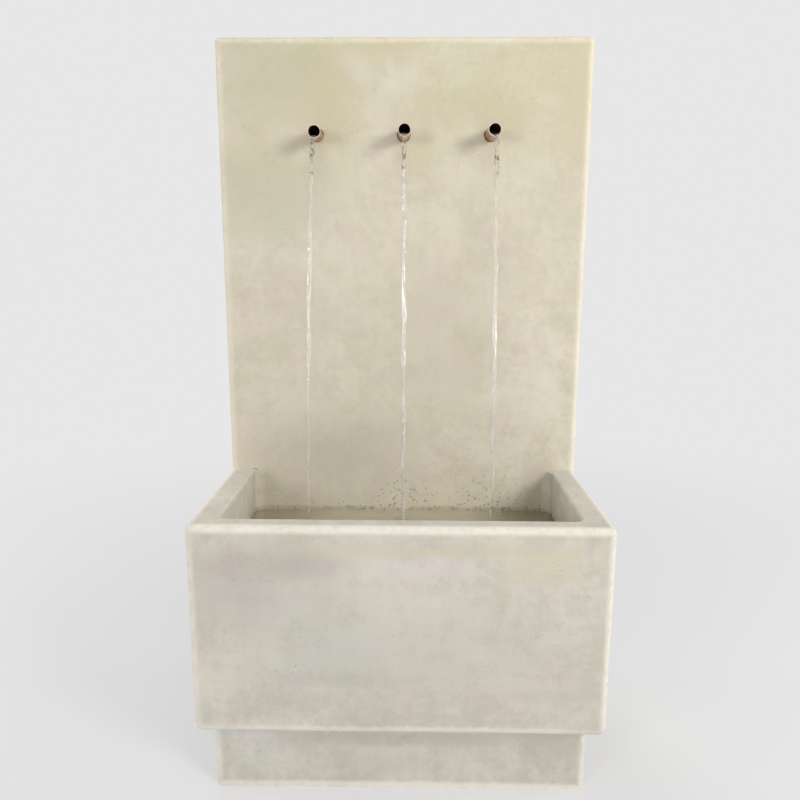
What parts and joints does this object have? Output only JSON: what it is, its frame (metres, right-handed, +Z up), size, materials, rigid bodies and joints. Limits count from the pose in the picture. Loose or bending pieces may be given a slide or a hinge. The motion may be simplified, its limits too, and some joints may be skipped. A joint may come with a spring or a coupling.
{
  "type": "garden wall fountain",
  "caption": "Cast stone wall fountain: plain tall back panel with copper spouts over a trough basin on a plinth, with valves and a submersible pump inside.",
  "frame": {"origin": "centre of the footprint's bounding box, on the ground", "axes": "+Z up, +X to the right of someone facing the fountain, +Y towards the wall behind it"},
  "size_m": [0.864, 0.508, 1.626],
  "materials": {
    "panel_stone": "cast, matte, warm cream",
    "basin_stone": "cast, matte, greyer beige with pour bands",
    "plinth_stone": "cast, matte, greyer beige",
    "mortar": "floated",
    "copper": "copper, drawn, slightly tarnished",
    "brass": "machined",
    "stainless": "turned",
    "lever_enamel": "enamelled",
    "rubber_black": "moulded",
    "sealant": "cured sealant",
    "seat_plastic": "turned white plastic",
    "pump_plastic": "moulded",
    "rotor_plastic": "moulded",
    "magnet": "sintered ferrite",
    "shaft_ceramic": "ground",
    "elbow_rubber": "moulded, satin",
    "drain_plastic": "moulded",
    "clip_plastic": "moulded"
  },
  "bodies": {
    "fountain": {"anchor_sockets": "stainless", "back_panel": "panel_stone", "basin": "basin_stone", "cable_gland": "rubber_black", "clip_screws": "stainless", "corner_coves": "mortar", "drain_gasket": "rubber_black", "drain_locknut": "drain_plastic", "drain_sleeve": "drain_plastic", "elbow_clamps": "stainless", "gland_nuts": "brass", "locating_dowels": "stainless", "manifold_cross": "copper", "manifold_elbows": "copper", "manifold_tubes": "copper", "outlet_nozzle": "pump_plastic", "pipe_clips": "clip_plastic", "plinth": "plinth_stone", "pump_housing": "pump_plastic", "pump_screws": "stainless", "riser_elbow": "copper", "riser_pipe": "copper", "riser_stub": "copper", "rotor_shaft": "shaft_ceramic", "rubber_elbow": "elbow_rubber", "setting_pads": "rubber_black", "shaft_bushes": "rubber_black", "spout_center": "copper", "spout_elbows": "copper", "spout_left": "copper", "spout_right": "copper", "spout_seals": "sealant", "stub_seal": "rubber_black", "suction_feet": "rubber_black", "tongue_seat_strip": "rubber_black", "valve_body_center": "brass", "valve_body_left": "brass", "valve_body_right": "brass", "valve_nuts": "brass", "valve_seats": "seat_plastic", "valve_tails": "copper", "volute": "pump_plastic", "volute_seal": "rubber_black"},
    "rotor": {"impeller": "rotor_plastic", "rotor_magnet": "magnet"},
    "intake": {"intake_cover": "pump_plastic"},
    "dial": {"flow_dial": "pump_plastic"},
    "stopper": {"drain_stopper": "rubber_black"},
    "valve_left": {"valve_ball_left": "brass", "valve_stem_left": "brass", "valve_lever_left": "lever_enamel", "lever_nut_left": "stainless"},
    "valve_center": {"valve_ball_center": "brass", "valve_stem_center": "brass", "valve_lever_center": "lever_enamel", "lever_nut_center": "stainless"},
    "valve_right": {"valve_ball_right": "brass", "valve_stem_right": "brass", "valve_lever_right": "lever_enamel", "lever_nut_right": "stainless"}
  },
  "joints": [
    {"name": "rotor_spin", "type": "hinge", "parent": "fountain", "child": "rotor", "pos_m": [-0.0285, 0.057, 0.268], "axis": [0, -1, 0], "continuous": true},
    {"name": "cover_pull", "type": "slide", "parent": "fountain", "child": "intake", "axis": [0, -1, 0], "range_m": [0, 0.06]},
    {"name": "dial_turn", "type": "hinge", "parent": "intake", "child": "dial", "pos_m": [-0.0285, -0.0116, 0.268], "axis": [0, -1, 0], "range_deg": [0, 90]},
    {"name": "stopper_lift", "type": "slide", "parent": "fountain", "child": "stopper", "axis": [0, 0, 1], "range_m": [0, 0.045]},
    {"name": "lever_left", "type": "hinge", "parent": "fountain", "child": "valve_left", "pos_m": [-0.201, 0.207, 1.338], "axis": [0, -1, 0], "range_deg": [0, 90]},
    {"name": "lever_center", "type": "hinge", "parent": "fountain", "child": "valve_center", "pos_m": [0, 0.207, 1.338], "axis": [0, 1, 0], "range_deg": [0, 90]},
    {"name": "lever_right", "type": "hinge", "parent": "fountain", "child": "valve_right", "pos_m": [0.201, 0.207, 1.338], "axis": [0, 1, 0], "range_deg": [0, 90]}
  ]
}
